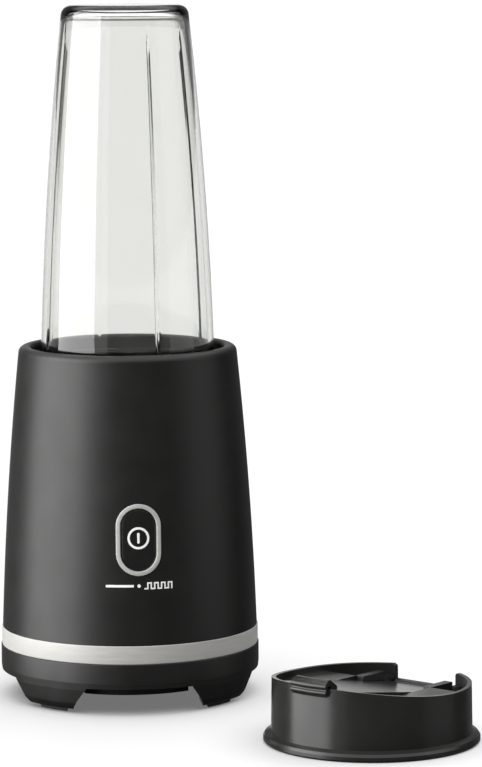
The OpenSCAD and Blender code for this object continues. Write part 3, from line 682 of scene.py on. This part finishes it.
def swept_band(bm, path, section, base_z):
    """Sweeps a section of (outwards, depth) points round a closed path laid on the housing."""
    rows = []
    count = len(path)
    for i, p in enumerate(path):
        run = (path[(i + 1) % count] - path[i - 1]).normalized()
        side = Vector((run.y, -run.x))
        rows.append([on_housing(p.x + side.x * s.x, base_z + p.y + side.y * s.x, s.y)
                     for s in section])
    skin(bm, rows)


def bezel_ring(material):
    path = stadium(BEZEL_W / 2 - BEZEL_BAND / 2)
    half = BEZEL_BAND / 2
    bm = bmesh.new()
    swept_band(bm, path, rounded([(-half, -3.0, 0), (half, -3.0, 0), (half, 0.5, 0.42),
                                  (-half, 0.5, 0.42)]), BUTTON_Z)
    piece("bezel_ring", bm, "base", material, ["button_bezel"])


def concentric_cap(bm, rows, base_z, straight):
    """Closes a solid from rings of (radius, depth) laid on the housing, largest outside first."""
    loops = [[on_housing(p.x, base_z + p.y, depth) for p in stadium(radius, straight)]
             for radius, depth in rows]
    skin(bm, loops, close_rows=False)


def button_cap(material):
    """The oval push button: softly rounded edge and a very shallow dish for the finger."""
    r = BEZEL_W / 2 - BEZEL_BAND - BUTTON_GAP
    edge, dish, back = 0.7, 0.12, -5.6
    rows = [(0.01, back), (r - 0.2, back), (r, back + 0.2), (r, BUTTON_FACE - edge)]
    rows += [(r - edge + edge * math.cos(a), BUTTON_FACE - edge + edge * math.sin(a))
             for a in (math.radians(12 * k) for k in range(1, 8))]
    rows += [(r * s, BUTTON_FACE - dish * smooth((0.85 - s) / 0.5)) for s in
             (0.85, 0.78, 0.7, 0.6, 0.5, 0.4, 0.3, 0.2, 0.1)]
    rows += [(0.01, BUTTON_FACE - dish)]
    bm = bmesh.new()
    concentric_cap(bm, rows, BUTTON_Z, STRAIGHT_HALF)
    piece("button_cap", bm, "button", material, ["power_button"])


def button_mark(material):
    """The on and off mark: a ring with an upright bar in it, printed on the button."""
    bm = bmesh.new()
    ring_r, stroke, lift = 4.5, 1.05, BUTTON_FACE
    circle = [Vector((ring_r * math.cos(a), ring_r * math.sin(a)))
              for a in (2 * math.pi * k / 72 for k in range(72))]
    half = stroke / 2
    swept_band(bm, circle, rounded([(-half, lift - 0.4, 0), (half, lift - 0.4, 0),
                                    (half, lift - 0.04, 0.05), (-half, lift - 0.04, 0.05)]),
               ICON_Z)
    bar_r = 0.55
    rows = [(0.01, lift - 0.4), (bar_r, lift - 0.4), (bar_r, lift - 0.06),
            (bar_r - 0.06, lift - 0.02), (0.01, lift - 0.02)]
    concentric_cap(bm, rows, ICON_Z, 1.9)
    piece("button_mark", bm, "button", material, ["power_icon"])


def printed_marks(material):
    """White printing under the button: a long bar, a dot and a square wave."""
    bar_w, bar_h, wave_h, stroke, pulses, gap = 12.6, 1.1, 3.2, 0.62, 4, 2.4
    pitch = bar_w / pulses
    rects = [(-gap - bar_w, -bar_h / 2, -gap, bar_h / 2)]
    for i in range(pulses):
        left = gap + pitch * i
        rise, fall = left + pitch / 2, left + pitch
        low_y, high_y = -wave_h / 2, wave_h / 2
        rects += [(left + (stroke / 2 if i else 0), low_y, rise + stroke / 2, low_y + stroke),
                  (rise - stroke / 2, low_y + stroke, rise + stroke / 2, high_y - stroke),
                  (rise - stroke / 2, high_y - stroke, fall + stroke / 2, high_y),
                  (fall - stroke / 2, low_y, fall + stroke / 2, high_y - stroke)]
    bm = bmesh.new()
    for x0, y0, x1, y1 in rects:
        steps = max(1, round((x1 - x0) / 0.6))
        rows = []
        for k in range(steps + 1):
            x = x0 + (x1 - x0) * k / steps
            rows.append([on_housing(x, MARKS_Z + y, out) for y, out in
                         ((y0, -0.3), (y0, 0.05), (y1, 0.05), (y1, -0.3))])
        made = skin(bm, rows, close_rows=False)
        bm.faces.new(made[0])
        bm.faces.new(made[-1])
    concentric_cap(bm, [(0.01, -0.3), (0.75, -0.3), (0.75, 0.05), (0.01, 0.05)], MARKS_Z, 0.0)
    piece("printed_marks", bm, "base", material, ["function_marks"])


# ---------------------------------------------------------------- cup


def cup(material):
    """The clear cup, closed end up, with ribs down its inside and a thread on its neck."""
    end_z = CUP_TOP_Z - CUP_CORNER
    inner_r = 3.0
    ceiling = CUP_TOP_Z - CUP_END_WALL
    ribs = [-90 + RIB_TURN + 90 * k for k in range(4)]
    fine = (0.25, 0.5, 0.75, 1.0, 1.3, 1.7, 2.2, 2.8)
    angles = {360 * k / 192 for k in range(192)}
    angles |= {(a + s * d) % 360 for a in ribs for d in fine for s in (-1, 1)}
    angles |= {a % 360 for a in ribs}

    def rib(angle, z):
        away = min(abs((angle - a + 180) % 360 - 180) for a in ribs)
        shape = math.exp(-((away / 1.1) ** 2))
        return RIB_DEPTH * shape * smooth((z - RIB_START_Z) / 8) * smooth((end_z - 6 - z) / 10)

    def thread(angle, z):
        turn = (z - THREAD_LOW_Z - 1.5 - THREAD_PITCH * angle / 360) % THREAD_PITCH
        near = abs(turn - THREAD_PITCH / 2)
        fade = smooth((z - THREAD_LOW_Z) / 2.5) * smooth((THREAD_HIGH_Z - z) / 2.5)
        return THREAD_DEPTH * fade * smooth(1 - near / 1.3)

    outside = [(NECK_BORE_R, CUP_LOW_Z + 0.5, None), (NECK_BORE_R + 0.5, CUP_LOW_Z, None),
               (NECK_R - 0.5, CUP_LOW_Z, None), (NECK_R, CUP_LOW_Z + 0.5, None)]
    outside += [(NECK_R, 133 + 0.5 * k, thread) for k in range(38)]
    outside += [(p.x, p.y, None) for p in rounded(
        [(NECK_R, 152, 0), (NECK_R, SHOULDER_Z - 1.6, 0.6), (CUP_SHOULDER_R - 0.1, SHOULDER_Z, 0.5),
         (CUP_SHOULDER_R + 0.1, SHOULDER_Z + 3, 0)], closed=False, steps=4)]
    side = bowed(CUP_SHOULDER_R, SHOULDER_Z, CUP_END_R, end_z, CUP_BOW, 48)
    outside += [(p.x, p.y, None) for p in side if p.y > SHOULDER_Z + 4]
    outside += [(p.x, p.y, None) for p in
                arc(CUP_END_R - CUP_CORNER, end_z, CUP_CORNER, 6, 90, 10)]
    outside += [(r, CUP_TOP_Z, None) for r in (18, 12, 6, 0.0)]
    inside = [(r, ceiling, None) for r in (0.0, 6, 12, 18)]
    inside += [(p.x, p.y, None) for p in
               arc(CUP_END_R - CUP_WALL - inner_r, ceiling - inner_r, inner_r, 90, 12, 8)]
    inner_side = bowed(CUP_SHOULDER_R - CUP_WALL, SHOULDER_Z, CUP_END_R - CUP_WALL, end_z,
                       CUP_BOW, 48)
    inside += [(p.x, p.y, rib) for p in reversed(inner_side)
               if SHOULDER_Z + 1 < p.y < ceiling - inner_r - 0.8]
    inside += [(NECK_BORE_R + 0.3, SHOULDER_Z - 1.0, None), (NECK_BORE_R, SHOULDER_Z - 2.6, None),
               (NECK_BORE_R, 145, None)]
    rows = []
    for angle in sorted(angles):
        c, s = math.cos(math.radians(angle)), math.sin(math.radians(angle))
        row = []
        for r, z, effect in outside + inside:
            if effect is thread:
                r += thread(angle, z)
            if effect is rib:
                r -= rib(angle, z)
            row.append(Vector((r * c, r * s, z)))
        rows.append(row)
    bm = bmesh.new()
    skin(bm, rows)
    piece("cup_body", bm, "cup", material, ["blending_cup"])


# ---------------------------------------------------------------- pieces that keep the CAD's shape


def softened_copy(node, name, material, width, angle=32.0):
    """The CAD node's own shape as one joined mesh with rounded edges."""
    bm = bmesh.new()
    bm.from_mesh(frame["nodes"][node].data)
    bmesh.ops.remove_doubles(bm, verts=bm.verts, dist=2e-6)
    bmesh.ops.dissolve_limit(bm, angle_limit=math.radians(0.4), verts=bm.verts, edges=bm.edges)
    bmesh.ops.scale(bm, vec=(1 / MM,) * 3, verts=bm.verts)
    body = frame["nodes"][node]["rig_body"]
    piece(name, bm, body, material, [node], angle, width)


def dress(node, material):
    """Gives a CAD node that stays as it is its material."""
    obj = frame["nodes"][node]
    if not obj.material_slots:
        obj.data.materials.append(material)
    for material_slot in obj.material_slots:
        material_slot.material = material


# ---------------------------------------------------------------- stage


def floor():
    """A wide pale floor."""
    material = grained("floor_paper", (0.90, 0.90, 0.90), (0.93, 0.93, 0.93), (0.7, 0.8), 400.0,
                       0.02, patch=3.0, Emission_Color=(1, 1, 1, 1), Emission_Strength=0.16)
    bm = bmesh.new()
    size = 30000.0
    rows = [[Vector((x, y, 0)) for x in (-size, 0, size)] for y in (-size, 0, size)]
    skin(bm, rows, close_rows=False, close_columns=False)
    bmesh.ops.scale(bm, vec=(MM, MM, MM), verts=bm.verts)
    mesh = bpy.data.meshes.new("floor")
    bm.to_mesh(mesh)
    bm.free()
    mesh.materials.append(material)
    obj = bpy.data.objects.new("floor", mesh)
    bpy.context.scene.collection.objects.link(obj)
    obj.visible_glossy = False
    obj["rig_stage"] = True


def around(azimuth, distance, height):
    """A point seen from the blender at an angle to the right of the camera's side."""
    camera_side = -4.2
    a = math.radians(azimuth + camera_side)
    return Vector((distance * math.sin(a), -distance * math.cos(a), height))


def softbox(name, azimuth, distance, height, width, tall, radiance, aim=0.15):
    """A softbox that lights the blender and not the floor, and isn't seen through the cup."""
    light = bpy.data.lights.new(name, "AREA")
    light.shape, light.size, light.size_y = "RECTANGLE", width, tall
    light.energy = radiance * math.pi * width * tall
    obj = bpy.data.objects.new(name, light)
    bpy.context.scene.collection.objects.link(obj)
    obj.location = around(azimuth, distance, height)
    obj.rotation_euler = (Vector((0, 0, aim)) - obj.location).to_track_quat("-Z", "Y").to_euler()
    obj.light_linking.receiver_collection = product_collection()
    obj.visible_transmission = False


def product_collection():
    """Every shown piece of the blender, for the lights that leave the floor alone."""
    found = bpy.data.collections.get("product")
    if not found:
        found = bpy.data.collections.new("product")
        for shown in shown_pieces():
            found.objects.link(shown)
    return found


def glow(tree, axis, start, end, strength):
    """Light from the sky that grows with one axis of the direction it comes from."""
    span = tree.nodes.new("ShaderNodeMapRange")
    span.interpolation_type = "SMOOTHSTEP"
    for key, value in {"From Min": start, "From Max": end, "To Max": strength}.items():
        span.inputs[key].default_value = value
    tree.links.new(axis, span.inputs["Value"])
    return span.outputs["Result"]


def studio():
    softbox("key_softbox", -74, 1.2, 0.40, 1.45, 1.5, 6.2)
    softbox("front_panel", -36, 1.35, 0.5, 0.5, 1.6, 1.0)
    softbox("fill_panel", 78, 1.5, 0.5, 1.2, 1.5, 0.75)
    world = bpy.data.worlds.new("studio")
    world.use_nodes = True
    bpy.context.scene.world = world
    tree = world.node_tree
    coordinates = tree.nodes.new("ShaderNodeTexCoord")
    split = tree.nodes.new("ShaderNodeSeparateXYZ")
    tree.links.new(coordinates.outputs["Generated"], split.inputs["Vector"])
    overhead = glow(tree, split.outputs["Z"], 0.45, 0.75, 1.6)
    backdrop = glow(tree, split.outputs["Y"], 0.955, 0.985, 0.82)
    rear = glow(tree, split.outputs["Y"], 0.45, 0.90, 0.14)
    total = tree.nodes.new("ShaderNodeMath")
    total.operation = "MAXIMUM"
    tree.links.new(overhead, total.inputs[0])
    tree.links.new(backdrop, total.inputs[1])
    lifted = tree.nodes.new("ShaderNodeMath")
    lifted.operation = "ADD"
    tree.links.new(rear, lifted.inputs[1])
    tree.links.new(total.outputs[0], lifted.inputs[0])
    tree.links.new(lifted.outputs[0], tree.nodes["Background"].inputs["Strength"])
    tree.nodes["Background"].inputs["Color"].default_value = (1, 1, 1, 1)


def camera():
    data = bpy.data.cameras.new("camera")
    data.sensor_width, data.lens = 36.0, 178.9
    data.clip_start, data.clip_end = 0.05, 100.0
    obj = bpy.data.objects.new("camera", data)
    bpy.context.scene.collection.objects.link(obj)
    pitch = math.radians(7.055)
    heading = Vector((0.1030, 0.9947, 0)).normalized()
    look = Vector((heading.x * math.cos(pitch), heading.y * math.cos(pitch), -math.sin(pitch)))
    obj.location = (-0.129, -1.757, 0.363)
    obj.rotation_mode = "QUATERNION"
    roll = Quaternion((0, 0, 1), math.radians(-0.3))
    obj.rotation_quaternion = look.to_track_quat("-Z", "Y") @ roll
    bpy.context.scene.camera = obj


# ---------------------------------------------------------------- build

black, skirt_skin, dark = housing_black(), skirt_black(), under_black()
silver, white, rubber, lid_gloss = satin_silver(), white_mark(), rubber_black(), lid_black()
inner, button_skin, clear = inner_black(), button_black(), clear_cup()
silicone, screws, blades, bracket = silicone_grey(), screw_steel(), blade_steel(), bracket_metal()
laminations, copper, bronze = lamination_steel(), copper_wire(), bush_bronze()
board, switch, carbon, nylon = board_green(), switch_grey(), brush_carbon(), nylon_natural()

housing_shell(black)
screw_bosses(black)
band_ring(silver)
skirt(skirt_skin)
rubber_pads(rubber)
cord_bushing(rubber)
bezel_ring(silver)
button_cap(button_skin)
button_mark(white)
printed_marks(white)
cup(clear)
softened_copy("lid_shell", "lid_body", lid_gloss, 0.35)
softened_copy("lid_flap", "lid_flap_plate", lid_gloss, 0.3)
softened_copy("blade_base", "blade_holder", inner, 0.3)
softened_copy("lower_blade", "lower_blade_steel", blades, 0.12)
softened_copy("upper_blade", "upper_blade_steel", blades, 0.12)

CARRIED = {
    "bottom_plate": dark, "case_screws": screws, "plate_screws": screws, "well_liner": inner,
    "control_board": board, "board_screws": screws, "button_switch": switch,
    "interlock_switch": switch, "motor_lower_bracket": bracket, "motor_cushions": rubber,
    "motor_screws": screws, "motor_upper_bracket": bracket, "bracket_screws": screws,
    "motor_bolts": screws, "motor_spacers": bronze, "lower_bearing": screws,
    "upper_bearing": screws, "stator_core": laminations, "field_coils": copper,
    "brush_holders": bronze, "carbon_brushes": carbon, "motor_shaft": screws,
    "armature_core": laminations, "armature_windings": copper, "commutator": bronze,
    "cooling_fan": switch, "drive_coupling": inner, "blade_shaft": blades,
    "driven_coupling": inner, "thrust_washer": bronze, "blade_nut": blades,
    "lock_ring": inner, "interlock_plunger": nylon, "bearing_bush": bronze,
    "shaft_seal": rubber, "cup_gasket": silicone, "lid_gasket": silicone,
    "lid_hinge_pin": screws, "flap_seal": silicone,
}
for carried_node, carried_material in CARRIED.items():
    dress(carried_node, carried_material)

floor()
studio()
camera()
bpy.context.scene.view_settings.view_transform = "Standard"
